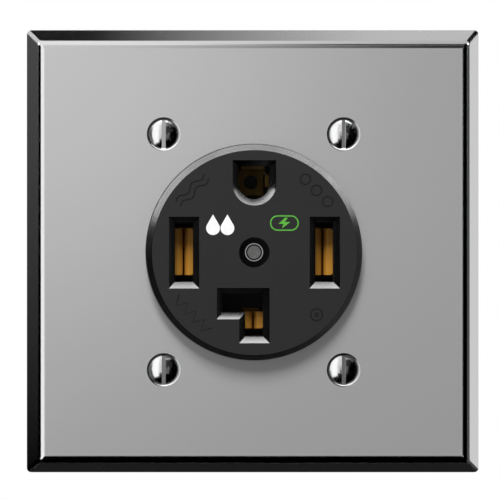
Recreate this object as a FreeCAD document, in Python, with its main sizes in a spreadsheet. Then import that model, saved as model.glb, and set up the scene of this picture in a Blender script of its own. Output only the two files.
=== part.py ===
import FreeCAD, Part
import math
import os
import re
import Sketcher

# A four prong dryer outlet behind a two-gang wall plate.
# X is to the right, Y goes into the wall and Z is up, with the wall's surface at Y zero.
# The origin is the middle of the four box screws.

doc = FreeCAD.newDocument("DryerOutlet")
sheet = doc.addObject("Spreadsheet::Sheet", "Sizes")
parts = []


# Each size in millimetres, by its name in the sheet.
sizes = {
    # Wall plate.
    "plate_width": 116.8,
    "plate_height": 114.3,
    "plate_depth": 5.6,
    "plate_sheet": 0.9,
    "plate_bevel": 3.65,
    "plate_bend": 2.6,
    "plate_corner": 1.4,
    "face_width": 55.0,
    "face_play": 0.2,
    "gang_pitch": 46.04,
    "plate_screw_pitch": 60.33,
    "dimple_width": 8.2,
    "dimple_drop": 2.2,
    "dimple_hole": 4.4,
    "dimple_lip": 0.5,
    # Plate screws.
    "plate_screw_head": 7.2,
    "plate_screw_dome": 1.1,
    "plate_screw_edge": 0.15,
    "plate_screw_slot": 1.0,
    "plate_screw_cut": 1.25,
    "plate_screw_length": 12.0,
    "screw_shank": 3.5,
    "seat_play": 0.03,
    # Mounting strap.
    "strap_sheet": 1.5,
    "strap_width": 60.0,
    "strap_height": 97.0,
    "strap_notch_width": 22.0,
    "strap_notch_depth": 9.0,
    "strap_corner": 4.0,
    "window_half": 24.5,
    "window_corner": 30.5,
    "thread_play": 0.05,
    "box_screw_pitch": 83.34,
    "box_slot_length": 7.0,
    "box_slot_width": 4.4,
    "housing_screw_place": 17.0,
    "housing_screw_hole": 3.6,
    # Face cover.
    "face_front": 9.6,
    "face_bevel": 1.5,
    "face_wall": 3.5,
    "window_play": 0.3,
    "blade_pitch": 35.71,
    "hot_slot_width": 4.6,
    "hot_slot_height": 15.1,
    "slot_bevel": 1.55,
    "ground_place": 17.5,
    "ground_slot_width": 8.0,
    "ground_slot_top": 21.9,
    "neutral_slot_width": 4.6,
    "neutral_slot_left": 8.0,
    "neutral_slot_top": 10.5,
    "neutral_slot_step": 15.35,
    "neutral_slot_bottom": 21.43,
    "recess_width": 7.8,
    "recess_depth": 5.0,
    "rivet_shank": 3.6,
    "rivet_play": 0.1,
    "pocket_side": 0.6,
    "pocket_end": 0.3,
    "pilot_depth": 6.0,
    "housing_screw_shank": 3.0,
    # Rear housing.
    "housing_width": 62.0,
    "housing_corner": 47.0,
    "housing_depth": 28.5,
    "housing_wall": 2.7,
    "housing_back": 2.5,
    "housing_edge": 0.8,
    "well_start": 12.0,
    "well_width": 12.8,
    "blade_room": 11.5,
    "tail_place": 20.2,
    "leaf_sheet": 1.0,
    "cage_play": 0.2,
    "cage_wall": 1.4,
    "cage_length": 9.0,
    "wire_hole": 6.4,
    "wire_funnel": 0.8,
    "terminal_head": 7.6,
    "head_play": 0.3,
    "rivet_recess": 1.5,
    "rivet_tail_width": 7.0,
    "housing_screw_head": 6.0,
    "housing_screw_sink": 3.0,
    # Housing screws.
    "housing_screw_height": 2.2,
    "housing_screw_slot": 0.9,
    "housing_screw_cut": 1.2,
    "pilot_rest": 0.5,
    # Centre rivet.
    "rivet_head_width": 4.6,
    "rivet_core_width": 3.4,
    "rivet_groove_width": 4.1,
    "rivet_head_height": 2.9,
    "rivet_groove_depth": 0.9,
    "rivet_tail_height": 1.2,
    # Hot contacts.
    "jaw_mouth": 3.0,
    "jaw_gap": 0.4,
    "lip_radius": 1.3,
    "lip_reach": 2.4,
    "lip_corner": 0.8,
    "jaw_throat": 1.0,
    "jaw_root": 8.0,
    "jaw_back": 14.0,
    "jaw_height": 12.0,
    "tail_width": 8.0,
    "tail_rest": 0.2,
    "leaf_ease": 0.25,
    # Neutral contact.
    "neutral_jaw_start": 15.4,
    "neutral_jaw_width": 4.3,
    "neutral_plate": 12.0,
    # Ground contact.
    "ground_plate": 12.0,
    "ground_plate_width": 6.7,
    "ground_plate_start": 14.3,
    "ground_leaf_start": 16.6,
    "ground_leaf_end": 19.8,
    "ground_hole": 3.7,
    "ground_hole_place": 17.8,
    "ground_mouth": 3.0,
    # Bonding strip.
    "bond_width": 6.0,
    "bond_reach": 15.0,
    # Wire barriers.
    "barrier_sheet": 1.2,
    "barrier_play": 0.2,
    "barrier_rest": 0.4,
    # Clamp cages.
    "cage_width": 11.2,
    "cage_side": 1.3,
    "cage_plate": 2.0,
    "cage_space": 1.1,
    "terminal_shank": 4.8,
    "screw_clearance": 0.1,
    # Terminal screws.
    "terminal_height": 2.5,
    "terminal_slot": 1.2,
    "terminal_cut": 1.3,
    "tip_play": 0.15,
    # Box screws.
    "box_screw_head": 6.8,
    "box_screw_height": 1.9,
    "box_screw_neck": 2.7,
    "box_screw_reach": 17.5,
    "box_screw_slot": 1.0,
    "box_screw_cut": 1.0,
    "washer_sheet": 0.6,
    "washer_width": 8.6,
    "washer_play": 0.05,
}
for row, name in enumerate(sizes, 1):
    sheet.set(f"A{row}", name)
    sheet.set(f"B{row}", str(sizes[name]))
    sheet.setAlias(f"B{row}", name)
sheet.recompute()


def bound(text):
    return re.sub("[a-z_]+", lambda word: "Sizes." + word[0] if word[0] in sizes else word[0], text)


def value(text):
    return float(sheet.evalExpression(bound(text)))


def body(label, turn=0):
    made = doc.addObject("PartDesign::Body", label)
    made.Label = label
    made.AllowCompound = True
    made.Placement = FreeCAD.Placement(FreeCAD.Vector(), FreeCAD.Rotation(FreeCAD.Vector(0, 1, 0), turn))
    parts.append(made)
    return made


def origin(owner, role):
    return [feature for feature in owner.Origin.OriginFeatures if feature.Role == role][0]


# The sketch planes: XZ faces the room, XY lies level and YZ faces right.
def sketch(owner, name, plane, out="0", across="0", up="0"):
    made = owner.newObject("Sketcher::SketchObject", name)
    made.AttachmentSupport = [(origin(owner, plane), "")]
    made.MapMode = "FlatFace"
    made.setExpression("AttachmentOffset.Base.x", bound(across))
    made.setExpression("AttachmentOffset.Base.y", bound(up))
    made.setExpression("AttachmentOffset.Base.z", bound(out))
    return made


def hold(made, kind, shape, spot, text):
    index = made.addConstraint(Sketcher.Constraint(kind, -1, 1, shape, spot, value(text)))
    made.setExpression(f"Constraints[{index}]", bound(text))


# A closed line of points; a point with a centre and a turn starts an arc.
def outline(made, points):
    ends = []
    spots = [FreeCAD.Vector(value(point[0]), value(point[1]), 0) for point in points]
    for here, point in enumerate(points):
        start = spots[here]
        stop = spots[(here + 1) % len(points)]
        if len(point) == 2:
            shape = made.addGeometry(Part.LineSegment(start, stop))
            ends.append((shape, 1, 2))
            continue
        centre = FreeCAD.Vector(value(point[2]), value(point[3]), 0)
        circle = Part.Circle(centre, FreeCAD.Vector(0, 0, 1), (start - centre).Length)
        first = math.atan2(start.y - centre.y, start.x - centre.x)
        last = math.atan2(stop.y - centre.y, stop.x - centre.x)
        if point[4] == "left":
            shape = made.addGeometry(Part.ArcOfCircle(circle, first, last))
            ends.append((shape, 1, 2))
        else:
            shape = made.addGeometry(Part.ArcOfCircle(circle, last, first))
            ends.append((shape, 2, 1))
    for here, (shape, start, stop) in enumerate(ends):
        following = ends[(here + 1) % len(ends)]
        made.addConstraint(Sketcher.Constraint("Coincident", shape, stop, following[0], following[1]))
    for point, (shape, start, stop) in zip(points, ends):
        hold(made, "DistanceX", shape, start, point[0])
        hold(made, "DistanceY", shape, start, point[1])
        if len(point) > 2:
            chord = made.Geometry[shape].EndPoint - made.Geometry[shape].StartPoint
            lying = abs(chord.x) > abs(chord.y)
            hold(made, "DistanceY" if lying else "DistanceX", shape, 3, point[3] if lying else point[2])


def rectangle(made, left, right, low, high):
    outline(made, [(left, low), (right, low), (right, high), (left, high)])


def ring(made, x, y, width):
    circle = Part.Circle(FreeCAD.Vector(value(x), value(y), 0), FreeCAD.Vector(0, 0, 1), value(width) / 2)
    shape = made.addGeometry(circle)
    hold(made, "DistanceX", shape, 3, x)
    hold(made, "DistanceY", shape, 3, y)
    index = made.addConstraint(Sketcher.Constraint("Diameter", shape, value(width)))
    made.setExpression(f"Constraints[{index}]", bound(width))


def finish(owner, made):
    owner.Tip = made
    doc.recompute()
    return made


def pad(owner, name, profile, length, other_way=False, both_ways=False):
    made = owner.newObject("PartDesign::Pad", name)
    made.Profile = profile
    made.Reversed = other_way
    made.Midplane = both_ways
    made.setExpression("Length", bound(length))
    return finish(owner, made)


def pocket(owner, name, profile, length, other_way=False):
    made = owner.newObject("PartDesign::Pocket", name)
    made.Profile = profile
    made.Reversed = other_way
    made.setExpression("Length", bound(length))
    return finish(owner, made)


# A block whose four sides lean in towards its front.
def wedge(owner, kind, name, front, half_width, half_height, lean):
    made = owner.newObject(kind, name)
    made.setExpression("Ymin", bound(f"-({front})"))
    made.setExpression("Ymax", bound("0"))
    made.setExpression("Xmin", bound(f"{lean} - ({half_width})"))
    made.setExpression("Xmax", bound(f"{half_width} - {lean}"))
    made.setExpression("Zmin", bound(f"{lean} - ({half_height})"))
    made.setExpression("Zmax", bound(f"{half_height} - {lean}"))
    made.setExpression("X2min", bound(f"-({half_width})"))
    made.setExpression("X2max", bound(half_width))
    made.setExpression("Z2min", bound(f"-({half_height})"))
    made.setExpression("Z2max", bound(half_height))
    return finish(owner, made)


def turned(owner, name, profile, axis="V_Axis", kind="PartDesign::Revolution"):
    made = owner.newObject(kind, name)
    made.Profile = profile
    made.ReferenceAxis = (profile, [axis])
    made.Angle = 360
    return finish(owner, made)


# The four corners of a rectangle, from the one at the upper right.
def four_corners(owner, name, features):
    made = owner.newObject("PartDesign::MultiTransform", name)
    sideways = owner.newObject("PartDesign::Mirrored", name + "Across")
    sideways.MirrorPlane = (origin(owner, "YZ_Plane"), [""])
    upright = owner.newObject("PartDesign::Mirrored", name + "Down")
    upright.MirrorPlane = (origin(owner, "XY_Plane"), [""])
    made.Originals = features
    made.Transformations = [sideways, upright]
    return finish(owner, made)


# The four sides of the block, from the right-hand one.
def four_sides(owner, name, features):
    made = owner.newObject("PartDesign::PolarPattern", name)
    made.Originals = features
    made.Axis = (origin(owner, "Y_Axis"), [""])
    made.Angle = 360
    made.Occurrences = 4
    return finish(owner, made)


def edges(feature, wanted):
    found = enumerate(feature.Shape.Edges, start=1)
    return [f"Edge{number}" for number, edge in found if wanted(edge.BoundBox, edge)]


def level(box, depth):
    return abs(box.YMin - depth) < 0.001 and abs(box.YMax - depth) < 0.001


def rounded(owner, name, feature, wanted, radius):
    made = owner.newObject("PartDesign::Fillet", name)
    made.Base = (feature, edges(feature, wanted))
    made.setExpression("Radius", bound(radius))
    return finish(owner, made)


def bevelled(owner, name, feature, wanted, width):
    made = owner.newObject("PartDesign::Chamfer", name)
    made.Base = (feature, edges(feature, wanted))
    made.setExpression("Size", bound(width))
    return finish(owner, made)


# Wall plate: one stamped sheet of stainless steel.
# Its bevelled rim rests on the wall and four screws pull it to the strap.
plate = body("wall_plate")
plate_x = "plate_width / 2"
plate_z = "plate_height / 2"
kind = "PartDesign::AdditiveWedge"
block = wedge(plate, kind, "PlateBlock", "plate_depth", plate_x, plate_z, "plate_bevel")
depth = value("plate_depth")
bend = rounded(plate, "PlateBend", block, lambda box, edge: level(box, -depth), "plate_bend")
rounded(plate, "PlateCorners", bend, lambda box, edge: box.YLength > depth / 2, "plate_corner")
wall = "plate_sheet * sqrt(1 + (plate_bevel / plate_depth) ^ 2)"
inner_depth = "plate_depth - plate_sheet"
lean = f"plate_bevel * ({inner_depth}) / plate_depth"
cavity_x = f"{plate_x} - {wall}"
cavity_z = f"{plate_z} - {wall}"
cavity = wedge(plate, "PartDesign::SubtractiveWedge", "PlateCavity", inner_depth, cavity_x, cavity_z, lean)
inner = value(inner_depth)
inside = rounded(plate, "InnerBend", cavity, lambda box, edge: level(box, -inner), "plate_bend - plate_sheet")
hole = sketch(plate, "FaceHole", "XZ_Plane", "plate_depth")
ring(hole, "0", "0", "face_width + 2 * face_play")
pocket(plate, "FaceOpening", hole, "plate_depth")
mouth = "dimple_width / 2"
waist = "dimple_hole / 2"
dimple_end = "dimple_drop - plate_depth"
boss = sketch(plate, "DimpleBack", "XY_Plane", "plate_screw_pitch / 2", "gang_pitch / 2")
boss_points = [("0", "plate_sheet / 2 - plate_depth"), (mouth, "plate_sheet / 2 - plate_depth")]
boss_points += [(mouth, "plate_sheet - plate_depth")]
boss_points += [(f"{waist} + plate_sheet", f"{dimple_end} + plate_sheet / 2")]
boss_points += [("0", f"{dimple_end} + plate_sheet / 2")]
outline(boss, boss_points)
dimple_back = turned(plate, "DimpleBacks", boss)
cone = sketch(plate, "DimpleCone", "XY_Plane", "plate_screw_pitch / 2", "gang_pitch / 2")
cone_points = [("0", "-plate_depth"), (mouth, "-plate_depth"), (waist, dimple_end)]
cone_points += [(waist, f"{dimple_end} + plate_sheet"), ("0", f"{dimple_end} + plate_sheet")]
outline(cone, cone_points)
dimple = turned(plate, "DimpleCones", cone, kind="PartDesign::Groove")
dimples = four_corners(plate, "Dimples", [dimple_back, dimple])
lip = value(mouth)
small = lambda box, edge: level(box, -depth) and box.XLength < 3 * lip and len(edge.Vertexes) == 1
rounded(plate, "DimpleLips", dimples, small, "dimple_lip")

# Plate screws: four oval-head slotted screws that sit in the dimples.
# They turn into the tapped holes of the strap.
plate_screws = body("plate_screws")
slope = "dimple_drop / (dimple_width / 2 - dimple_hole / 2)"
head_half = "plate_screw_head / 2"
shank_half = "screw_shank / 2"
seat = f"({mouth} - {head_half}) * {slope} - plate_depth - seat_play"
dome_edge = f"{seat} - plate_screw_edge"
dome_top = f"{dome_edge} - plate_screw_dome"
dome_radius = f"(plate_screw_dome ^ 2 + ({head_half}) ^ 2) / (2 * plate_screw_dome)"
screw = sketch(plate_screws, "PlateScrew", "XY_Plane", "plate_screw_pitch / 2", "gang_pitch / 2")
screw_points = [("0", dome_top, "0", f"{dome_top} + {dome_radius}", "left"), (head_half, dome_edge)]
screw_points += [(head_half, seat), (shank_half, f"{seat} + ({head_half} - {shank_half}) * {slope}")]
screw_points += [(shank_half, f"{dome_top} + plate_screw_length"), ("0", f"{dome_top} + plate_screw_length")]
outline(screw, screw_points)
shaft = turned(plate_screws, "PlateScrewBody", screw)
screw_x = "gang_pitch / 2"
screw_z = "plate_screw_pitch / 2"
cut = sketch(plate_screws, "PlateScrewSlot", "XZ_Plane", f"-({dome_top})", screw_x, screw_z)
rectangle(cut, "-plate_screw_slot / 2", "plate_screw_slot / 2", "-plate_screw_head", "plate_screw_head")
groove = pocket(plate_screws, "PlateScrewCut", cut, "plate_screw_cut")
four_corners(plate_screws, "PlateScrewSet", [shaft, groove])

# Mounting strap: plated steel sheet clamped between the face cover and the rear housing.
# Its back lies on the wall, and it has tapped holes, slots for box screws and a window.
strap = body("mounting_strap")
strap_x = "strap_width / 2"
strap_z = "strap_height / 2"
notch_x = "strap_notch_width / 2"
notch_z = "strap_height / 2 - strap_notch_depth"
sheet_outline = sketch(strap, "StrapOutline", "XZ_Plane")
strap_points = [(f"-{strap_x}", f"-{strap_z}"), (f"-{notch_x}", f"-{strap_z}")]
strap_points += [(f"-{notch_x}", f"-({notch_z})")]
strap_points += [(notch_x, f"-({notch_z})"), (notch_x, f"-{strap_z}"), (strap_x, f"-{strap_z}")]
strap_points += [(strap_x, strap_z), (notch_x, strap_z), (notch_x, notch_z)]
strap_points += [(f"-{notch_x}", notch_z), (f"-{notch_x}", strap_z), (f"-{strap_x}", strap_z)]
outline(sheet_outline, strap_points)
strap_block = pad(strap, "StrapBlock", sheet_outline, "strap_sheet")
end_z = value(strap_z)
ear = lambda box, edge: box.YLength > 0.01 and box.XLength < 0.01 and abs(abs(box.ZMax) - end_z) < 0.01
rounded(strap, "StrapCorners", strap_block, ear, "strap_corner")


def octagon(made, half, corner):
    rest = f"({corner} - {half})"
    eight = [(half, f"-{rest}"), (half, rest), (rest, half), (f"-{rest}", half)]
    eight += [(f"-{half}", rest), (f"-{half}", f"-{rest}"), (f"-{rest}", f"-{half}"), (rest, f"-{half}")]
    outline(made, eight)


window = sketch(strap, "StrapWindow", "XZ_Plane", "strap_sheet")
octagon(window, "window_half", "window_corner")
pocket(strap, "StrapOpening", window, "strap_sheet")
strap_holes = sketch(strap, "StrapHoles", "XZ_Plane", "strap_sheet")
ring(strap_holes, "gang_pitch / 2", "plate_screw_pitch / 2", "screw_shank + 2 * thread_play")
ring(strap_holes, "housing_screw_place", "housing_screw_place", "housing_screw_hole")
slot_half = "box_slot_width / 2"
slot_left = "gang_pitch / 2 - box_slot_length / 2 + box_slot_width / 2"
slot_right = "gang_pitch / 2 + box_slot_length / 2 - box_slot_width / 2"
slot_z = "box_screw_pitch / 2"
slot_points = [(slot_left, f"{slot_z} - {slot_half}")]
slot_points += [(slot_right, f"{slot_z} - {slot_half}", slot_right, slot_z, "left")]
slot_points += [(slot_right, f"{slot_z} + {slot_half}")]
slot_points += [(slot_left, f"{slot_z} + {slot_half}", slot_left, slot_z, "left")]
outline(strap_holes, slot_points)
strap_cuts = pocket(strap, "StrapCuts", strap_holes, "strap_sheet")
four_corners(strap, "StrapCutSet", [strap_cuts])

# Face cover: the round black moulding that carries the four slots.
# It bears on the front of the strap and its boss fills the strap's window.
face = body("face_cover")
disc = sketch(face, "FaceDisc", "XZ_Plane", "strap_sheet")
ring(disc, "0", "0", "face_width")
pad(face, "FaceBlock", disc, "face_front - strap_sheet")
plug = sketch(face, "FaceBoss", "XZ_Plane", "strap_sheet")
octagon(plug, "(window_half - window_play)", "(window_corner - window_play)")
pad(face, "FaceBossBlock", plug, "strap_sheet", other_way=True)


# The four slots, each wider than its blade by the same margin all round.
def slots(made, side, end):
    for sign in ("-", ""):
        middle = f"{sign}blade_pitch / 2"
        wide = f"(hot_slot_width / 2 + {side})"
        high = f"hot_slot_height / 2 + {end}"
        rectangle(made, f"{middle} - {wide}", f"{middle} + {wide}", f"-({high})", high)
    half = f"(ground_slot_width / 2 + {side})"
    top = f"ground_slot_top + {end}"
    bowl = [(half, "ground_place"), (half, top), (f"-{half}", top)]
    bowl += [(f"-{half}", "ground_place", "0", "ground_place", "left")]
    outline(made, bowl)
    leg = f"(neutral_slot_width / 2 + {side})"
    upper = f"-(neutral_slot_top - {end})"
    step = f"-(neutral_slot_step + {end})"
    foot = f"-(neutral_slot_bottom + {end})"
    toe = f"-(neutral_slot_left + {end})"
    hook = [(leg, foot), (leg, upper), (toe, upper), (toe, step), (f"-{leg}", step), (f"-{leg}", foot)]
    outline(made, hook)


face_slots = sketch(face, "FaceSlots", "XZ_Plane", "face_front")
slots(face_slots, "0", "0")
face_cut = pocket(face, "FaceSlotCuts", face_slots, "face_wall + pocket_end")
face_y = value("face_front")
face_reach = value("face_width") / 2
at_rim = lambda box, edge: level(box, -face_y) and box.XLength > face_reach
in_slot = lambda box, edge: level(box, -face_y) and box.XLength < face_reach
face_rim = bevelled(face, "FaceRim", face_cut, at_rim, "face_bevel")
bevelled(face, "SlotBevels", face_rim, in_slot, "slot_bevel")
recess = sketch(face, "RivetRecess", "XZ_Plane", "face_front")
ring(recess, "0", "0", "recess_width")
pocket(face, "RivetRecessCut", recess, "recess_depth")
face_bore = sketch(face, "FaceRivetHole", "XZ_Plane", "face_front")
ring(face_bore, "0", "0", "rivet_shank + 2 * rivet_play")
pocket(face, "FaceRivetBore", face_bore, "face_front")
pockets = sketch(face, "FacePockets", "XZ_Plane")
slots(pockets, "pocket_side", "pocket_end")
pocket(face, "FacePocketCuts", pockets, "face_front - face_wall", other_way=True)
pilot = sketch(face, "FacePilot", "XZ_Plane", "strap_sheet")
ring(pilot, "housing_screw_place", "housing_screw_place", "housing_screw_shank + 2 * thread_play")
pilot_cut = pocket(face, "FacePilotCut", pilot, "pilot_depth", other_way=True)
four_corners(face, "FacePilots", [pilot_cut])

# Rear housing: the black moulded block behind the strap.
# Four wells take the contacts and clamps, with wire holes behind and screw bores at the sides.
well_end = "housing_width / 2 - housing_wall"
well_depth = "housing_depth - housing_back"
cage_back = f"{well_depth} - cage_play"
clamp_line = f"{cage_back} - cage_length / 2"
cage_start = "well_start + cage_play"
wire_place = f"({cage_start} + cage_wall + tail_place) / 2"
housing = body("rear_housing")
housing_outline = sketch(housing, "HousingOutline", "XZ_Plane")
octagon(housing_outline, "housing_width / 2", "housing_corner")
housing_block = pad(housing, "HousingBlock", housing_outline, "housing_depth", other_way=True)
rear = value("housing_depth")
bevelled(housing, "HousingEdges", housing_block, lambda box, edge: level(box, rear), "housing_edge")
well = sketch(housing, "Well", "XZ_Plane")
rectangle(well, "well_start", well_end, "-well_width / 2", "well_width / 2")
well_cut = pocket(housing, "WellCut", well, well_depth)
blades = sketch(housing, "BladeRoom", "XZ_Plane")
slots(blades, "pocket_side", "pocket_end")
pocket(housing, "BladeRoomCut", blades, "blade_room")
bore = sketch(housing, "ScrewBore", "YZ_Plane", "housing_width / 2")
ring(bore, clamp_line, "0", "terminal_head + 2 * head_play")
bore_cut = pocket(housing, "ScrewBoreCut", bore, "housing_wall")
wire = sketch(housing, "WireHole", "XZ_Plane", "-housing_depth")
ring(wire, wire_place, "0", "wire_hole")
wire_cut = pocket(housing, "WireHoleCut", wire, "housing_back", other_way=True)
funnel = sketch(housing, "WireFunnel", "XY_Plane", "0", wire_place)
funnel_points = [("0", "housing_depth - wire_funnel"), ("wire_hole / 2", "housing_depth - wire_funnel")]
funnel_points += [("wire_hole / 2 + wire_funnel", "housing_depth"), ("0", "housing_depth")]
outline(funnel, funnel_points)
funnel_cut = turned(housing, "WireFunnelCut", funnel, kind="PartDesign::Groove")
four_sides(housing, "Terminals", [well_cut, bore_cut, wire_cut, funnel_cut])
housing_bore = sketch(housing, "HousingRivetHole", "XZ_Plane")
ring(housing_bore, "0", "0", "rivet_shank + 2 * rivet_play")
pocket(housing, "HousingRivetBore", housing_bore, "housing_depth")
tail_recess = sketch(housing, "RivetTailRecess", "XZ_Plane", "-housing_depth")
ring(tail_recess, "0", "0", "rivet_tail_width + 2 * head_play")
pocket(housing, "RivetTailCut", tail_recess, "rivet_recess", other_way=True)
long_hole = sketch(housing, "HousingScrewHole", "XZ_Plane")
ring(long_hole, "housing_screw_place", "housing_screw_place", "housing_screw_hole")
long_cut = pocket(housing, "HousingScrewBore", long_hole, "housing_depth")
sink = sketch(housing, "HousingScrewSink", "XZ_Plane", "-housing_depth")
ring(sink, "housing_screw_place", "housing_screw_place", "housing_screw_head + 2 * head_play")
sink_cut = pocket(housing, "HousingSinkCut", sink, "housing_screw_sink", other_way=True)
four_corners(housing, "HousingScrewHoles", [long_cut, sink_cut])

# Housing screws: four long steel screws from the rear.
# They pass through the housing and the strap into the face cover.
housing_screws = body("housing_screws")
screw_seat = "housing_depth - housing_screw_sink"
screw_tip = "pilot_rest - strap_sheet - pilot_depth"
screw_end = f"{screw_seat} + housing_screw_height"
long_screw = sketch(housing_screws, "HousingScrew", "XY_Plane", "housing_screw_place", "housing_screw_place")
long_shank = "housing_screw_shank / 2"
long_head = "housing_screw_head / 2"
long_points = [("0", screw_tip), (long_shank, screw_tip), (long_shank, screw_seat)]
long_points += [(long_head, screw_seat), (long_head, screw_end), ("0", screw_end)]
outline(long_screw, long_points)
long_body = turned(housing_screws, "HousingScrewBody", long_screw)
corner_place = "housing_screw_place"
nick = sketch(housing_screws, "HousingScrewNick", "XZ_Plane", f"-({screw_end})", corner_place, corner_place)
nick_x = "housing_screw_slot / 2"
rectangle(nick, f"-{nick_x}", nick_x, "-housing_screw_head", "housing_screw_head")
nick_cut = pocket(housing_screws, "HousingScrewCut", nick, "housing_screw_cut", other_way=True)
four_corners(housing_screws, "HousingScrewSet", [long_body, nick_cut])

# Centre rivet: a steel rivet in the recess of the face cover.
# Its head has a rolled ring, and its tail is spread behind the housing.
rivet = body("centre_rivet")
floor_y = "recess_depth - face_front"
head_y = f"{floor_y} - rivet_head_height"
tail_y = "housing_depth - rivet_recess"
rivet_line = sketch(rivet, "RivetLine", "XY_Plane")
rivet_points = [("0", head_y), ("rivet_core_width / 2", head_y)]
rivet_points += [("rivet_core_width / 2", f"{head_y} + rivet_groove_depth")]
rivet_points += [("rivet_groove_width / 2", f"{head_y} + rivet_groove_depth")]
rivet_points += [("rivet_groove_width / 2", head_y), ("rivet_head_width / 2", head_y)]
rivet_points += [("rivet_head_width / 2", floor_y), ("rivet_shank / 2", floor_y)]
rivet_points += [("rivet_shank / 2", tail_y), ("rivet_tail_width / 2", tail_y)]
rivet_end = f"{tail_y} + rivet_tail_height"
rivet_points += [("rivet_tail_width / 2", rivet_end), ("0", rivet_end)]
outline(rivet_line, rivet_points)
turned(rivet, "RivetBody", rivet_line)

# Hot contacts: a brass plate with two sprung jaws bent forwards, which have rolled lips.
# The outer leaf goes on backwards as a tail into the clamp.
spread = "(tail_place - blade_pitch / 2)"
tail_end = f"{well_depth} - tail_rest"
cage_front = f"{cage_back} - cage_length"
lip_y = "lip_radius - jaw_mouth"
throat_y = f"{lip_y} + jaw_throat"


# One leaf from its root to the lip, which is rolled and then flat, on either side of the blade.
def leaf(blade, sign, back):
    out = lambda distance: f"{blade} {sign} ({distance})"
    curl = out("jaw_gap / 2 + lip_radius")
    ways = ("left", "right") if sign == "+" else ("right", "left")
    line = [(out(spread), back), (out(spread), "jaw_root"), (out("jaw_gap / 2"), throat_y)]
    end = out("jaw_gap / 2 + lip_reach")
    line += [(out("jaw_gap / 2"), lip_y, curl, lip_y, ways[0]), (curl, "-jaw_mouth")]
    line += [(end, "-jaw_mouth"), (end, "leaf_sheet - jaw_mouth")]
    line += [(curl, "leaf_sheet - jaw_mouth", curl, lip_y, ways[1]), (out("jaw_gap / 2 + leaf_sheet"), lip_y)]
    line += [(out("jaw_gap / 2 + leaf_sheet"), f"{throat_y} - leaf_ease")]
    line += [(out(f"{spread} + leaf_sheet"), "jaw_root - leaf_ease"), (out(f"{spread} + leaf_sheet"), back)]
    return line


# The same leaf with its two directions exchanged, for a sketch that faces right.
def across(line):
    swap = {"left": "right", "right": "left"}
    plain = lambda point: (point[1], point[0])
    curved = lambda point: (point[1], point[0], point[3], point[2], swap[point[4]])
    return [plain(point) if len(point) == 2 else curved(point) for point in line]


# The free corners of the lips are rounded.
lip_back = value("leaf_sheet - jaw_mouth")
corner = lambda box, edge: max(box.XLength, box.ZLength) < 0.001 and box.YMax < lip_back + 0.001


def tail(owner, start):
    strip = sketch(owner, owner.Name + "_tail", "XY_Plane")
    rectangle(strip, "tail_place", "tail_place + leaf_sheet", start, tail_end)
    return pad(owner, owner.Name + "_tail_strip", strip, "tail_width", both_ways=True)


def hot_contact(label, turn):
    made = body(label, turn)
    base = sketch(made, label + "_base", "XZ_Plane", "leaf_sheet - jaw_back")
    near = f"blade_pitch / 2 - {spread} - leaf_sheet"
    rectangle(base, near, "tail_place + leaf_sheet", "-jaw_height / 2", "jaw_height / 2")
    pad(made, label + "_plate", base, "leaf_sheet", other_way=True)
    for sign, side in (("+", "outer"), ("-", "inner")):
        jaw = sketch(made, f"{label}_{side}", "XY_Plane")
        outline(jaw, leaf("blade_pitch / 2", sign, "jaw_back"))
        bent = pad(made, f"{label}_{side}_jaw", jaw, "jaw_height", both_ways=True)
    rounded(made, label + "_corners", bent, corner, "lip_corner")
    tail(made, "jaw_root")


hot_contact("hot_contact_right", 0)
hot_contact("hot_contact_left", 180)

# Neutral contact: a brass plate with two sprung jaws bent forwards and a tail bent backwards.
neutral = body("neutral_contact", 90)
neutral_base = sketch(neutral, "NeutralBase", "XZ_Plane", "-neutral_plate")
base_half = f"({spread} + leaf_sheet)"
rectangle(neutral_base, "neutral_jaw_start", "tail_place + leaf_sheet", f"-{base_half}", base_half)
pad(neutral, "NeutralPlate", neutral_base, "leaf_sheet", other_way=True)
for sign, side in (("+", "Left"), ("-", "Right")):
    jaw = sketch(neutral, "NeutralJaw" + side, "YZ_Plane", "neutral_jaw_start")
    outline(jaw, across(leaf("0", sign, "neutral_plate + leaf_sheet")))
    bent = pad(neutral, "NeutralLeaf" + side, jaw, "neutral_jaw_width")
rounded(neutral, "NeutralCorners", bent, corner, "lip_corner")
tail(neutral, "neutral_plate")

# Ground contact: a brass plate with a round hole, two straight leaves for the pin and a tail.
ground = body("ground_contact", -90)
ground_base = sketch(ground, "GroundBase", "XZ_Plane", "-ground_plate")
ground_half = "ground_plate_width / 2"
rectangle(ground_base, "ground_plate_start", "tail_place + leaf_sheet", f"-{ground_half}", ground_half)
pad(ground, "GroundPlate", ground_base, "leaf_sheet", other_way=True)
for sign, side in (("", "Left"), ("-", "Right")):
    pin_leaf = sketch(ground, "GroundLeaf" + side, "XZ_Plane", "-(ground_plate + leaf_sheet)")
    ends = [f"{sign}({ground_half})", f"{sign}({ground_half} + leaf_sheet)"]
    ordered = ends if sign == "" else ends[::-1]
    rectangle(pin_leaf, "ground_leaf_start", "ground_leaf_end", ordered[0], ordered[1])
    pad(ground, "GroundSpring" + side, pin_leaf, "ground_plate + leaf_sheet - ground_mouth")
tail(ground, "ground_plate")
eye = sketch(ground, "GroundEye", "XZ_Plane", "-ground_plate")
ring(eye, "ground_hole_place", "0", "ground_hole")
pocket(ground, "GroundHole", eye, "leaf_sheet")

# Bonding strip: a bent brass strip that joins the ground contact's tail to the strap.
bond = body("bonding_strip", -90)
bond_line = sketch(bond, "BondLine", "XY_Plane")
bond_in = "tail_place + leaf_sheet"
bond_out = f"{well_end} - cage_play"
bond_bend = f"{bond_in} + leaf_sheet"
bond_points = [(bond_in, "0"), (bond_out, "0"), (bond_out, "leaf_sheet"), (bond_bend, "leaf_sheet")]
bond_points += [(bond_bend, "bond_reach"), (bond_in, "bond_reach")]
outline(bond_line, bond_points)
pad(bond, "BondStrip", bond_line, "bond_width", both_ways=True)

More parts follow.
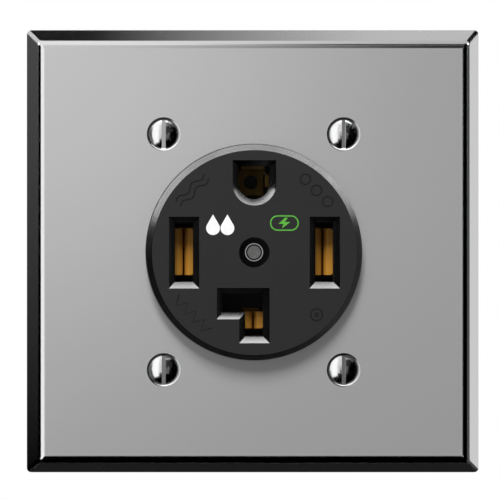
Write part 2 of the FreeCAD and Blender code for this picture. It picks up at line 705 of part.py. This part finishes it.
# Wire barriers: black moulded plates across the wells, each with a slit for the tail.
# They keep the end of a wire out of the jaws.
def wire_barrier(label, turn):
    made = body(label, turn)
    plate = sketch(made, label + "_outline", "XZ_Plane", f"barrier_rest + barrier_sheet - ({cage_front})")
    half = "(well_width / 2 - cage_play)"
    rectangle(plate, "well_start + cage_play", f"{well_end} - cage_play", f"-{half}", half)
    slit_half = "(tail_width / 2 + barrier_play)"
    slit_end = "tail_place + leaf_sheet + barrier_play"
    rectangle(plate, "tail_place - barrier_play", slit_end, f"-{slit_half}", slit_half)
    pad(made, label + "_sheet", plate, "barrier_sheet", other_way=True)


# Clamp cages: square steel collars around each tail.
# Turning its screw draws a cage outwards, and the wire is gripped between cage and tail.
cage_gap_end = "tail_place + leaf_sheet + cage_space"
cage_end = f"{cage_gap_end} + cage_plate"


def clamp_cage(label, turn):
    made = body(label, turn)
    collar = sketch(made, label + "_outline", "XZ_Plane", f"-({cage_front})")
    rectangle(collar, cage_start, cage_end, "-cage_width / 2", "cage_width / 2")
    inner_half = "(cage_width / 2 - cage_side)"
    rectangle(collar, f"{cage_start} + cage_wall", cage_gap_end, f"-{inner_half}", inner_half)
    pad(made, label + "_collar", collar, "cage_length", other_way=True)
    thread = sketch(made, label + "_thread", "YZ_Plane", cage_end)
    ring(thread, clamp_line, "0", "terminal_shank + 2 * screw_clearance")
    pocket(made, label + "_bore", thread, "cage_plate")


# Terminal screws: slotted screws at the four sides, each with its tip on a tail.
head_start = "housing_width / 2 - terminal_height"


def terminal_screw(label, turn):
    made = body(label, turn)
    line = sketch(made, label + "_line", "XY_Plane", "0", "0", clamp_line)
    tip = "tail_place + leaf_sheet + tip_play"
    thin = "terminal_shank / 2"
    wide = "terminal_head / 2"
    points = [(tip, "0"), ("housing_width / 2", "0"), ("housing_width / 2", wide), (head_start, wide)]
    points += [(head_start, thin), (tip, thin)]
    outline(line, points)
    turned(made, label + "_body", line, "H_Axis")
    slit = sketch(made, label + "_slit", "YZ_Plane", "housing_width / 2", clamp_line)
    rectangle(slit, "-terminal_slot / 2", "terminal_slot / 2", "-terminal_head", "terminal_head")
    pocket(made, label + "_slot", slit, "terminal_cut")


places = ("right", "neutral", "left", "ground")
for count, place in enumerate(places):
    turn = 360 / len(places) * count
    wire_barrier("wire_barrier_" + place, turn)
    clamp_cage("clamp_cage_" + place, turn)
    terminal_screw("terminal_screw_" + place, turn)

# Box screws: four captive screws with a thin neck, which hold the strap to the wall box.
# A flat washer under each head spans the slot in the strap.
box_screws = body("box_screws")
neck_half = "box_screw_neck / 2"
box_seat = "-(strap_sheet + washer_sheet)"
box_top = f"{box_seat} - box_screw_height"
box_line = sketch(box_screws, "BoxScrew", "XY_Plane", "box_screw_pitch / 2", "gang_pitch / 2")
box_half = "box_screw_head / 2"
box_points = [("0", box_top), (box_half, box_top), (box_half, box_seat), (neck_half, box_seat)]
box_points += [(neck_half, "0"), (shank_half, "0"), (shank_half, "box_screw_reach"), ("0", "box_screw_reach")]
outline(box_line, box_points)
box_body = turned(box_screws, "BoxScrewBody", box_line)
box_z = "box_screw_pitch / 2"
box_slot = sketch(box_screws, "BoxScrewSlot", "XZ_Plane", f"-({box_top})", screw_x, box_z)
rectangle(box_slot, "-box_screw_slot / 2", "box_screw_slot / 2", "-box_screw_head", "box_screw_head")
box_cut = pocket(box_screws, "BoxScrewCut", box_slot, "box_screw_cut")
four_corners(box_screws, "BoxScrewSet", [box_body, box_cut])
washers = body("box_screw_washers")
washer = sketch(washers, "Washer", "XZ_Plane", "strap_sheet")
ring(washer, "gang_pitch / 2", "box_screw_pitch / 2", "washer_width")
ring(washer, "gang_pitch / 2", "box_screw_pitch / 2", "box_screw_neck + 2 * washer_play")
washer_body = pad(washers, "WasherBody", washer, "washer_sheet")
four_corners(washers, "WasherSet", [washer_body])

doc.recompute()
for thing in doc.Objects:
    if "Invalid" in thing.State or "Error" in thing.State:
        raise RuntimeError(f"{thing.Name} was not built: {thing.State}")
os.makedirs("parts", exist_ok=True)
for made in parts:
    if made.Shape.isNull() or not made.Shape.isValid():
        raise RuntimeError(f"{made.Label} has no valid shape")
    made.Shape.exportStep(f"parts/{made.Label}.step")
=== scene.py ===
"""Four prong dryer outlet: a round black face in a bevelled, polished two-gang wall plate."""
import math

import bpy
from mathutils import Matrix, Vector


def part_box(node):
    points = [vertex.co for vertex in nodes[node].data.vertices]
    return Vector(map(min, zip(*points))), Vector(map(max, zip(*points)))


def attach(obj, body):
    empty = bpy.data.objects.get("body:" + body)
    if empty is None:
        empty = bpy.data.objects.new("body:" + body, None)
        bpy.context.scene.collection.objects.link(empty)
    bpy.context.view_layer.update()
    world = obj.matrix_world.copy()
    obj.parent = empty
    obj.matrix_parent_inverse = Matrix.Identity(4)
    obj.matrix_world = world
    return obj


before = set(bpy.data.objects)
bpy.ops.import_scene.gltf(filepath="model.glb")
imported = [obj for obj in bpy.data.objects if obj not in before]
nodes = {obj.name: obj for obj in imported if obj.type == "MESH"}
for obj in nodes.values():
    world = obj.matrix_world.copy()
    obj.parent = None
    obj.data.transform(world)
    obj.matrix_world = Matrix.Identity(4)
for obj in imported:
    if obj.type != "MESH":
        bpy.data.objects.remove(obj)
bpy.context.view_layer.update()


# Wall plate: one stamped sheet of polished stainless steel, bent back to the wall all round.
# Four dimpled holes take its screws, and the outlet's face stands through the large hole.
def shader(name, colour, metallic, roughness):
    made = bpy.data.materials.new(name)
    made.use_nodes = True
    main = made.node_tree.nodes["Principled BSDF"]
    main.inputs["Base Color"].default_value = (*colour, 1)
    main.inputs["Metallic"].default_value = metallic
    main.inputs["Roughness"].default_value = roughness
    return made


grain_detail = 3
grain_depth = 0.0001


# Fine grain that raises and sinks the surface, drawn out into lines where the stretch is uneven.
def relief(made, scale, strength, stretch=(1, 1, 1)):
    tree = made.node_tree
    place = tree.nodes.new("ShaderNodeTexCoord")
    mapping = tree.nodes.new("ShaderNodeMapping")
    mapping.inputs["Scale"].default_value = stretch
    noise = tree.nodes.new("ShaderNodeTexNoise")
    noise.inputs["Scale"].default_value = scale
    noise.inputs["Detail"].default_value = grain_detail
    bump = tree.nodes.new("ShaderNodeBump")
    bump.inputs["Strength"].default_value = strength
    bump.inputs["Distance"].default_value = grain_depth
    tree.links.new(place.outputs["Object"], mapping.inputs["Vector"])
    tree.links.new(mapping.outputs["Vector"], noise.inputs["Vector"])
    tree.links.new(noise.outputs["Fac"], bump.inputs["Height"])
    tree.links.new(bump.outputs["Normal"], tree.nodes["Principled BSDF"].inputs["Normal"])
    return made


# The slope is 0 on a face that looks straight to the front and 1 on one that stands square to it.
flat_end = 0.0005
bevel_start = 0.006
bevel_end = 0.6
wall_start = 0.8


# A surface whose flat faces and upright walls have one finish and whose bevels and bends have another.
def zones(made, **levels):
    tree = made.node_tree
    place = tree.nodes.new("ShaderNodeTexCoord")
    parts = tree.nodes.new("ShaderNodeSeparateXYZ")
    slope = tree.nodes.new("ShaderNodeMapRange")
    slope.inputs["From Min"].default_value = -1
    slope.inputs["From Max"].default_value = 0
    tree.links.new(place.outputs["Normal"], parts.inputs["Vector"])
    tree.links.new(parts.outputs["Y"], slope.inputs["Value"])
    for socket, (flat, bevel) in levels.items():
        ramp = tree.nodes.new("ShaderNodeValToRGB")
        stops = ramp.color_ramp.elements
        stops[0].position = flat_end
        stops[1].position = wall_start
        for stop in stops:
            stop.color = (flat, flat, flat, 1)
        for position in (bevel_start, bevel_end):
            stops.new(position).color = (bevel, bevel, bevel, 1)
        tree.links.new(slope.outputs["Result"], ramp.inputs["Fac"])
        tree.links.new(ramp.outputs["Color"], tree.nodes["Principled BSDF"].inputs[socket])
    return made


def dress(made, *names):
    for name in names:
        held = nodes[name].data.materials
        held.clear()
        held.append(made)


polished = shader("polished_stainless", (0.55, 0.55, 0.555), metallic=1, roughness=0.16)
relief(polished, scale=1600, strength=0.012, stretch=(0.03, 1, 1))
zones(polished, Metallic=(0.6, 1), Roughness=(0.24, 0.13))
dress(polished, "wall_plate")

# Plate screws: oval-head stainless screws with an upright slot, seated in the plate's dimples.
# They reach the tapped holes of the strap.
# Their shanks carry a rolled thread, which shows behind the strap.
bright = shader("bright_screw_steel", (0.62, 0.62, 0.625), metallic=1, roughness=0.16)
relief(bright, scale=1800, strength=0.04)
dress(bright, "plate_screws")
mm = 0.001
gang_pitch = 46.04
plate_screw_pitch = 60.33
shank_radius = 1.75
thread_pitch = 0.79
thread_height = 0.16
thread_half_width = 0.38 * thread_pitch
thread_sink = 0.02
turn_steps = 20
plate_thread_start = 0.2
plate_screw_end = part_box("plate_screws")[1].y / mm


def mesh_piece(name, made, points, faces):
    mesh = bpy.data.meshes.new(name)
    mesh.from_pydata(points, [], faces)
    mesh.materials.append(made)
    piece = bpy.data.objects.new(name, mesh)
    bpy.context.scene.collection.objects.link(piece)
    return piece


# A closed ridge that winds along each shank of a group and runs out at both ends.
def thread(name, made, pitch_z, start, end):
    points = []
    faces = []
    steps = int((end - start) / thread_pitch * turn_steps)
    for x in (-gang_pitch / 2, gang_pitch / 2):
        for z in (-pitch_z / 2, pitch_z / 2):
            first = len(points)
            last = first + 3 * steps
            for i in range(steps + 1):
                turn = math.tau * i / turn_steps
                y = start + (end - start) * i / steps
                crest = thread_height * min(1, i / turn_steps, (steps - i) / turn_steps)
                ridge = ((-thread_sink, -thread_half_width), (crest, 0), (-thread_sink, thread_half_width))
                for rise, shift in ridge:
                    radius = shank_radius + rise
                    along = min(max(y + shift, start), end)
                    points.append((x + radius * math.cos(turn), along, z + radius * math.sin(turn)))
            for i in range(first, last, 3):
                for a, b in ((0, 1), (1, 2), (2, 0)):
                    faces.append((i + a, i + b, i + 3 + b, i + 3 + a))
            faces.append((first + 2, first + 1, first))
            faces.append((last, last + 1, last + 2))
    piece = mesh_piece(name, made, [Vector(point) * mm for point in points], faces)
    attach(piece, "outlet")


thread("plate_screw_threads", bright,
       plate_screw_pitch, plate_thread_start, plate_screw_end)

# Mounting strap: zinc plated steel between the face and the rear housing.
# The box screws hold it to the box's ears, with flat washers under their heads.
tone_detail = 4
tone_low = 0.35
tone_high = 0.65


# Two tones that drift into each other over the surface, with the finish a little duller in the second.
def tones(made, scale, other, dull=0.08, stretch=(1, 1, 1)):
    tree = made.node_tree
    main = tree.nodes["Principled BSDF"]
    place = tree.nodes.new("ShaderNodeTexCoord")
    mapping = tree.nodes.new("ShaderNodeMapping")
    mapping.inputs["Scale"].default_value = stretch
    noise = tree.nodes.new("ShaderNodeTexNoise")
    noise.inputs["Scale"].default_value = scale
    noise.inputs["Detail"].default_value = tone_detail
    share = tree.nodes.new("ShaderNodeMapRange")
    share.inputs["From Min"].default_value = tone_low
    share.inputs["From Max"].default_value = tone_high
    ramp = tree.nodes.new("ShaderNodeValToRGB")
    ramp.color_ramp.elements[0].color = main.inputs["Base Color"].default_value
    ramp.color_ramp.elements[1].color = (*other, 1)
    finish = tree.nodes.new("ShaderNodeMapRange")
    finish.inputs["To Min"].default_value = main.inputs["Roughness"].default_value
    finish.inputs["To Max"].default_value = main.inputs["Roughness"].default_value + dull
    tree.links.new(place.outputs["Object"], mapping.inputs["Vector"])
    tree.links.new(mapping.outputs["Vector"], noise.inputs["Vector"])
    tree.links.new(noise.outputs["Fac"], share.inputs["Value"])
    tree.links.new(share.outputs["Result"], ramp.inputs["Fac"])
    tree.links.new(share.outputs["Result"], finish.inputs["Value"])
    tree.links.new(ramp.outputs["Color"], main.inputs["Base Color"])
    tree.links.new(finish.outputs["Result"], main.inputs["Roughness"])
    return made


zinc = shader("zinc_plate", (0.6, 0.6, 0.58), metallic=1, roughness=0.3)
tones(zinc, scale=260, other=(0.5, 0.51, 0.5))
relief(zinc, scale=900, strength=0.12)
dress(zinc, "mounting_strap", "housing_screws", "box_screws", "box_screw_washers")
box_screw_pitch = 83.34
box_thread_start = 0
box_screw_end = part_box("box_screws")[1].y / mm
thread("box_screw_threads", zinc, box_screw_pitch, box_thread_start, box_screw_end)

# Face cover: black moulded plastic, finely textured in front.
# The bevels of its rim and slots are smooth, and mirror the light from above.
# The housing screws draw it to the strap from behind.
face = shader("face_plastic", (0.018, 0.018, 0.019), metallic=0, roughness=0.5)
relief(face, scale=2600, strength=0.1)
face.node_tree.nodes["Principled BSDF"].inputs["IOR"].default_value = 1.3
face_zones = {"Base Color": (0.018, 0.1), "Metallic": (0, 1), "Roughness": (0.5, 0.22)}
dress(zones(face, **face_zones), "face_cover")

# Printed marks: two white drops and a green bolt in an oval beside the centre.
# They are thin ink on the front of the face cover.
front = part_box("face_cover")[0].y
ink = 0.000002
drop_radius = 1.75
drop_height = 3.5
drop_level = 6.2
left_drop = -10.5
right_drop = -6.85
oval_left = 5.9
oval_right = 9.3
oval_level = 7.5
oval_radius = 1.8
oval_line = 0.32
bolt_width = 3.0
bolt_height = 2.7


def mark(name, made, loops, depth=ink):
    points = []
    faces = []
    for loop in loops:
        faces.append(list(range(len(points), len(points) + len(loop))))
        points += [(x * mm, front - depth, z * mm) for x, z in loop]
    piece = mesh_piece(name, made, points, faces)
    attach(piece, "outlet")
    return piece


def arc(x, z, radius, start, end, steps=24):
    turns = [math.radians(start + (end - start) * i / steps) for i in range(steps + 1)]
    return [(x + radius * math.cos(turn), z + radius * math.sin(turn)) for turn in turns]


def drop(x, z, radius, height):
    return arc(x, z, radius, 150, 390) + [(x, z + height)]


def bolt(x, z, width, height):
    shape = [(0.55, 1), (0, 0.42), (0.42, 0.42), (0.3, 0), (1, 0.6), (0.52, 0.6), (0.8, 1)]
    return [(x + width * (u - 0.5), z + height * (v - 0.5)) for u, v in shape]


# A line of even width along a path, as one four-sided face for each step.
def ribbon(path, width):
    edges = []
    for i, (x, z) in enumerate(path):
        before = path[max(i - 1, 0)]
        after = path[min(i + 1, len(path) - 1)]
        along = Vector((after[0] - before[0], after[1] - before[1])).normalized() * width / 2
        edges.append(((x - along.y, z + along.x), (x + along.y, z - along.x)))
    return [[a[1], b[1], b[0], a[0]] for a, b in zip(edges, edges[1:])]


white_ink = shader("white_ink", (0.8, 0.8, 0.8), metallic=0, roughness=0.5)
tones(white_ink, scale=1400, other=(0.74, 0.74, 0.74))
green_ink = shader("green_ink", (0.09, 0.36, 0.045), metallic=0, roughness=0.5)
tones(green_ink, scale=1400, other=(0.075, 0.32, 0.04))
drops = [drop(x, drop_level, drop_radius, drop_height) for x in (left_drop, right_drop)]
mark("white_drops", white_ink, drops)
oval = arc(oval_left, oval_level, oval_radius, 90, 270) + arc(oval_right, oval_level, oval_radius, 270, 450)
oval.append((oval_left, oval_level + oval_radius))
mark("green_oval", green_ink, ribbon(oval, oval_line))
oval_middle = (oval_left + oval_right) / 2
mark("green_bolt", green_ink, [bolt(oval_middle, oval_level, bolt_width, bolt_height)])

# Moulded signs: plain waves, rings, a zigzag and an eye, moulded into the face near its rim.
# They show as lines a little darker than the plastic around them; the darker colour is painted shade
# standing for their sunk grooves.
# Painted shade: a darker colour on flat lines that stands for the shade in the signs' sunk grooves.
sunk_shade = shader("painted_sunk_shade", (0.007, 0.007, 0.007), metallic=0, roughness=0.6)
relief(sunk_shade, scale=2600, strength=0.1)
sunk_shade.node_tree.nodes["Principled BSDF"].inputs["Specular IOR Level"].default_value = 0.12
sign_radius = 22.3
sign_line = 0.35
wave_width = 10
wave_height = 0.6
wave_shift = 0.8
wave_turns = 2
wave_steps = 24
ring_radius = 1.3
ring_pitch = 4
zigzag_start = -6
zigzag_step = 1.5
zigzag_height = 1.3
zigzag_corners = 9
eye_radius = 1.5
pupil_radius = 0.4


# A sign drawn round a point is set near the rim, with its upper side up in both halves of the face.
def around(angle, lines):
    turn = math.radians(angle)
    out = Vector((math.cos(turn), math.sin(turn)))
    along = Vector((math.sin(turn), -math.cos(turn)))
    place = out * sign_radius
    if angle > 180:
        along = -along
        out = -out
    return [[tuple(place + along * u + out * v) for u, v in line] for line in lines]


def wave(level):
    shares = [i / wave_steps for i in range(wave_steps + 1)]
    turn = math.tau * wave_turns
    return [(wave_width * (s - 0.5), level + wave_height * math.sin(turn * s)) for s in shares]


waves = [wave(-wave_shift), wave(wave_shift)]
rings = [arc(x, 0, ring_radius, 0, 360) for x in (-ring_pitch, 0, ring_pitch)]
zigzag = [[(zigzag_start + zigzag_step * i, zigzag_height * (-1) ** i) for i in range(zigzag_corners)]]
eye = [arc(0, 0, eye_radius, 0, 360), arc(0, 0, pupil_radius, 0, 360)]
signs = {"waves": (135, waves), "rings": (45, rings), "zigzag": (225, zigzag), "eye": (315, eye)}
for name, (angle, lines) in signs.items():
    strips = [strip for line in around(angle, lines) for strip in ribbon(line, sign_line)]
    sign = mark("sign_" + name, sunk_shade, strips)

# Rear housing: black moulded block behind the strap, with a well for each contact and its clamp.
# Wire holes open at its rear, and bores at its sides give the screwdriver a way to the clamps.
# Four moulded barriers close the wells in front of the wires.
housing = shader("housing_plastic", (0.02, 0.02, 0.021), metallic=0, roughness=0.48)
tones(housing, scale=300, other=(0.024, 0.024, 0.025))
relief(housing, scale=1500, strength=0.2)
sides = ["right", "left", "neutral", "ground"]
dress(housing, "rear_housing", *[f"wire_barrier_{side}" for side in sides])

# Centre rivet: a steel rivet through the face, the strap and the housing.
# A flat black ring of painted shade lies in the groove of its head, inside a bright turned edge.
rivet = shader("rivet_steel", (0.36, 0.36, 0.36), metallic=1, roughness=0.4)
tones(rivet, scale=900, other=(0.31, 0.31, 0.3))
relief(rivet, scale=2000, strength=0.08)
dress(rivet, "centre_rivet")
groove_shade_radius = 1.88
groove_shade_width = 0.38
edge_radius = 2.18
edge_width = 0.22
rivet_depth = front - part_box("centre_rivet")[0].y + ink


def rivet_ring(name, made, radius, width):
    return mark(name, made, ribbon(arc(0, 0, radius, 0, 360, steps=48), width), rivet_depth)


# Painted shade: a flat black ring that darkens the groove of the rivet's head.
groove_shade = shader("painted_groove_shade", (0.004, 0.004, 0.004), metallic=0, roughness=0.8)
relief(groove_shade, scale=2600, strength=0.1)
rivet_ring("rivet_groove_shade", groove_shade, groove_shade_radius, groove_shade_width)
rivet_edge = shader("rivet_edge_steel", (0.85, 0.85, 0.85), metallic=1, roughness=0.3)
relief(rivet_edge, scale=2000, strength=0.05)
edge = rivet_ring("rivet_edge", rivet_edge, edge_radius, edge_width)

# Contacts: stamped brass jaws, two leaves each, with a tail that lies in the clamp.
# The ground's plate is duller, and a strip bonds it to the strap.
drawn = (1, 1, 0.06)
brass = shader("contact_brass", (0.54, 0.255, 0.036), metallic=0.35, roughness=0.56)
tones(brass, scale=700, other=(0.48, 0.22, 0.03), stretch=drawn)
relief(brass, scale=1500, strength=0.1, stretch=drawn)
dull_brass = shader("dull_brass", (0.17, 0.105, 0.03), metallic=1, roughness=0.48)
tones(dull_brass, scale=500, other=(0.14, 0.09, 0.03))
relief(dull_brass, scale=1500, strength=0.1)
dress(brass, "hot_contact_right", "hot_contact_left", "neutral_contact")
dress(dull_brass, "ground_contact", "bonding_strip")

# Wire clamps: plated steel cages that the terminal screws draw outwards over the wire and the tail.
# The screws are brass for the hot wires, nickel plated for neutral and green for ground.
dress(zinc, *[f"clamp_cage_{side}" for side in sides])
brass_screw = shader("brass_screw", (0.72, 0.5, 0.18), metallic=1, roughness=0.22)
tones(brass_screw, scale=500, other=(0.62, 0.42, 0.15))
silver_screw = shader("silver_screw", (0.72, 0.72, 0.7), metallic=1, roughness=0.22)
tones(silver_screw, scale=500, other=(0.63, 0.63, 0.6))
green_screw = shader("green_screw", (0.03, 0.3, 0.08), metallic=0.6, roughness=0.28)
tones(green_screw, scale=500, other=(0.025, 0.24, 0.06))
dress(brass_screw, "terminal_screw_right", "terminal_screw_left")
dress(silver_screw, "terminal_screw_neutral")
dress(green_screw, "terminal_screw_ground")

# Stage: a white surround, a floor well below, a soft light from above and plain cards beside the outlet.
# The cards stand outside the picture, where polished steel and the smooth bevels mirror them.
# They give mirrored light alone: the soft light and the surround shade the outlet.
reach = 0.9
square = ((-1, -1), (1, -1), (1, 1), (-1, 1))


def aim(azimuth, elevation):
    a = math.radians(azimuth)
    e = math.radians(elevation)
    out = Vector((math.sin(a) * math.cos(e), -math.cos(a) * math.cos(e), math.sin(e)))
    across = Vector((math.cos(a), math.sin(a), 0))
    up = Vector((-math.sin(a) * math.sin(e), math.cos(a) * math.sin(e), math.cos(e)))
    return out, across, up


def sheet(name, middle, across, up, glow=1):
    made = bpy.data.materials.new(name)
    made.cycles.emission_sampling = "NONE"
    made.use_nodes = True
    tree = made.node_tree
    tree.nodes.clear()
    light = tree.nodes.new("ShaderNodeEmission")
    light.inputs["Strength"].default_value = glow
    end = tree.nodes.new("ShaderNodeOutputMaterial")
    tree.links.new(light.outputs["Emission"], end.inputs["Surface"])
    corners = [middle + across * u + up * v for u, v in square]
    piece = mesh_piece(name, made, corners, [(0, 1, 2, 3)])
    piece.visible_camera = False
    piece.visible_diffuse = False
    piece.visible_shadow = False
    return tree


# A card that faces the outlet, as wide and high as the outlet sees it, in degrees.
def card(name, azimuth, elevation, wide, high, glow=1):
    out, across, up = aim(azimuth, elevation)
    half_wide = reach * math.tan(math.radians(wide) / 2)
    half_high = reach * math.tan(math.radians(high) / 2)
    return sheet(name, out * reach, across * half_wide, up * half_high, glow)


# A level card above the outlet, between two places across and two from front to back.
def level_card(name, height, left, right, near, far, glow=1):
    middle = Vector(((left + right) / 2, (near + far) / 2, height))
    across = Vector(((right - left) / 2, 0, 0))
    back = Vector((0, (far - near) / 2, 0))
    return sheet(name, middle, across, back, glow)


# Light that changes over a card: along a line from its start to its end, or in a spot from edge to middle.
def fade(tree, kind, origin, spread, first, last, turn=0):
    place = tree.nodes.new("ShaderNodeNewGeometry")
    spot = tree.nodes.new("ShaderNodeMapping")
    spot.vector_type = "TEXTURE"
    spot.inputs["Location"].default_value = origin
    spot.inputs["Rotation"].default_value = (0, math.radians(turn), 0)
    spot.inputs["Scale"].default_value = (spread, spread, spread)
    gradient = tree.nodes.new("ShaderNodeTexGradient")
    gradient.gradient_type = kind
    level = tree.nodes.new("ShaderNodeMapRange")
    level.inputs["To Min"].default_value = first
    level.inputs["To Max"].default_value = last
    tree.links.new(place.outputs["Position"], spot.inputs["Vector"])
    tree.links.new(spot.outputs["Vector"], gradient.inputs["Vector"])
    tree.links.new(gradient.outputs["Fac"], level.inputs["Value"])
    tree.links.new(level.outputs["Result"], tree.nodes["Emission"].inputs["Strength"])


# In front: what the flat of the plate mirrors, brightest at the upper left, with a dim card at the right.
front_card = card("front_card", azimuth=5, elevation=-3.5, wide=37, high=33)
fade(front_card, "SPHERICAL", origin=(-0.085, -reach, 0.07), spread=0.225, first=0.17, last=0.86)
dim_middle = Vector((0.19, -0.88, 0.1))
dim_half_width = Vector((0.08, 0, 0))
dim_half_height = Vector((0, 0, 0.055))
sheet("dim_card", dim_middle, dim_half_width, dim_half_height, glow=0.02)

# Above: what the bevels of the face mirror, in strips that meet at these places.
overhead = 0.3
inner = 0.1
outer = 1.1
strip_start = -0.27
strip_step = -0.14
strip_back = -0.017
strip_end = 0.008
left_strip_end = -0.029
right_strip_end = -0.014
overhead_front = level_card("overhead_front_card", overhead, -outer, outer, strip_start, strip_step)
fade(overhead_front, "LINEAR", origin=(-0.02, 0, 0), spread=0.07, first=1.3, last=0.05)
level_card("overhead_card", overhead, -inner, inner, strip_step, strip_back, glow=8)
level_card("overhead_back_card", overhead, -inner, inner, strip_back, strip_end, glow=1)
level_card("overhead_left_card", overhead, -outer, -inner, strip_step, left_strip_end, glow=9)
level_card("overhead_right_card", overhead, inner, outer, strip_step, right_strip_end, glow=10)

# Close above the plate: what the roll along its upper edge mirrors.
roll_height = 0.0585
roll_half = 0.062
roll_start = -0.0086
roll_end = -0.0035
top_roll = level_card("top_roll_card", roll_height, -roll_half, roll_half, roll_start, roll_end)
fade(top_roll, "LINEAR", origin=(-0.045, 0, 0), spread=0.09, first=1.35, last=0.8)

# All round: what the bevels and bends of the plate and the heads of the screws mirror.
card("left_bright_card", azimuth=-40, elevation=0, wide=32, high=100, glow=1.55)
card("left_black_card", azimuth=-74, elevation=-10, wide=38, high=100, glow=0)
left_back = card("left_back_card", azimuth=-118, elevation=-5, wide=50, high=100)
fade(left_back, "LINEAR", origin=(0, 0, -0.19), spread=0.5, first=0, last=0.18, turn=-90)
card("right_black_card", azimuth=48, elevation=-8, wide=48, high=100, glow=0)
right_top = card("right_top_card", azimuth=12, elevation=26, wide=44, high=34)
fade(right_top, "LINEAR", origin=(-0.07, 0, 0), spread=0.22, first=1, last=0.03)
card("right_grey_card", azimuth=91, elevation=-8, wide=38, high=100, glow=0.13)
card("low_card", azimuth=0, elevation=-64.5, wide=130, high=87, glow=0)
card("low_back_card", azimuth=0, elevation=-122, wide=130, high=28, glow=0.02)
back_card = card("top_back_card", azimuth=0, elevation=117, wide=66, high=36)
fade(back_card, "LINEAR", origin=(-0.068, 0, 0), spread=0.19, first=0.012, last=0.85)

# Behind the plate's upper corners: small cards that only the rounded corners mirror.
plate_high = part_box("wall_plate")[1]
corner_gap = 0.05
corner_half_width = 0.024
corner_depth = Vector((0, 0.0195, 0))
corner_half_depth = corner_depth * 0.8
for name, side, glow in (("corner_card_right", 1, 0), ("corner_card_left", -1, 1)):
    corner = Vector((side * plate_high.x, corner_depth.y, plate_high.z))
    diagonal = Vector((side, 0, 1)).normalized()
    across = Vector((-side, 0, 1)).normalized()
    sheet(name, corner + diagonal * corner_gap, across * corner_half_width, corner_half_depth, glow)

# The soft light, a little to the left and high in front.
key_size = 0.3
key_energy = 14.9
key_azimuth = -11
key_elevation = 55
key_data = bpy.data.lights.new("key_light", "AREA")
key_data.size = key_size
key_data.energy = key_energy
key = bpy.data.objects.new("key_light", key_data)
key.location = aim(key_azimuth, key_elevation)[0] * reach
key.rotation_mode = "QUATERNION"
key.rotation_quaternion = key.location.to_track_quat("Z", "Y")
key.visible_camera = False
key.visible_glossy = False
bpy.context.scene.collection.objects.link(key)


# The rays that show the surround: those of the camera, and those that metal mirrors or glass lets through.
def shown_rays(tree):
    rays = tree.nodes.new("ShaderNodeLightPath")
    seen = tree.nodes.new("ShaderNodeMath")
    seen.operation = "MAXIMUM"
    shown = tree.nodes.new("ShaderNodeMath")
    shown.operation = "MAXIMUM"
    tree.links.new(rays.outputs["Is Camera Ray"], seen.inputs[0])
    tree.links.new(rays.outputs["Is Glossy Ray"], seen.inputs[1])
    tree.links.new(seen.outputs[0], shown.inputs[0])
    tree.links.new(rays.outputs["Is Transmission Ray"], shown.inputs[1])
    return shown.outputs[0]


# The surround: white where it is seen, and a dim grey where it lights the outlet.
dim_grey = (0.25, 0.25, 0.25, 1)
white = (1, 1, 1, 1)
world = bpy.data.worlds.new("white_surround")
bpy.context.scene.world = world
world.use_nodes = True
world_tree = world.node_tree
world_tree.nodes.clear()
lit = world_tree.nodes.new("ShaderNodeBackground")
lit.inputs["Color"].default_value = dim_grey
plain = world_tree.nodes.new("ShaderNodeBackground")
plain.inputs["Color"].default_value = white
either = world_tree.nodes.new("ShaderNodeMixShader")
surround = world_tree.nodes.new("ShaderNodeOutputWorld")
world_tree.links.new(shown_rays(world_tree), either.inputs["Fac"])
world_tree.links.new(lit.outputs[0], either.inputs[1])
world_tree.links.new(plain.outputs[0], either.inputs[2])
world_tree.links.new(either.outputs[0], surround.inputs["Surface"])

# The floor: pale and matt, and only partly whitened where it is seen, so that it keeps a shadow.
floor_level = -1.6
floor_half = 3
floor_white = 0.75
pale = shader("pale_floor", (0.8, 0.8, 0.8), metallic=0, roughness=0.9)
floor_tree = pale.node_tree
whiteness = floor_tree.nodes.new("ShaderNodeMath")
whiteness.operation = "MULTIPLY"
whiteness.inputs[1].default_value = floor_white
floor_glow = floor_tree.nodes.new("ShaderNodeEmission")
whitened = floor_tree.nodes.new("ShaderNodeMixShader")
floor_tree.links.new(shown_rays(floor_tree), whiteness.inputs[0])
floor_tree.links.new(whiteness.outputs[0], whitened.inputs["Fac"])
floor_tree.links.new(floor_tree.nodes["Principled BSDF"].outputs["BSDF"], whitened.inputs[1])
floor_tree.links.new(floor_glow.outputs["Emission"], whitened.inputs[2])
floor_tree.links.new(whitened.outputs["Shader"], floor_tree.nodes["Material Output"].inputs["Surface"])
floor_corners = [(floor_half * u, floor_half * v, floor_level) for u, v in square]
floor = mesh_piece("floor", pale, floor_corners, [(0, 1, 2, 3)])

# Camera: square to the plate, with the lens a little left of the plate's middle and above it.
# The picture is shifted back, so that the plate stands in its middle.
camera_x = -0.0227
camera_z = 0.018
camera_distance = 0.5
picture_x = -0.0007
picture_z = 0.00032
picture_width = 0.1293
camera_data = bpy.data.cameras.new("camera")
camera_data.sensor_width = 36
camera_data.lens = 139.2
camera_data.shift_x = (picture_x - camera_x) / picture_width
camera_data.shift_y = (picture_z - camera_z) / picture_width
camera = bpy.data.objects.new("camera", camera_data)
camera.location = (camera_x, -camera_distance, camera_z)
camera.rotation_euler = (math.radians(90), 0, 0)
bpy.context.scene.collection.objects.link(camera)
bpy.context.scene.camera = camera
bpy.context.scene.view_settings.view_transform = "Standard"
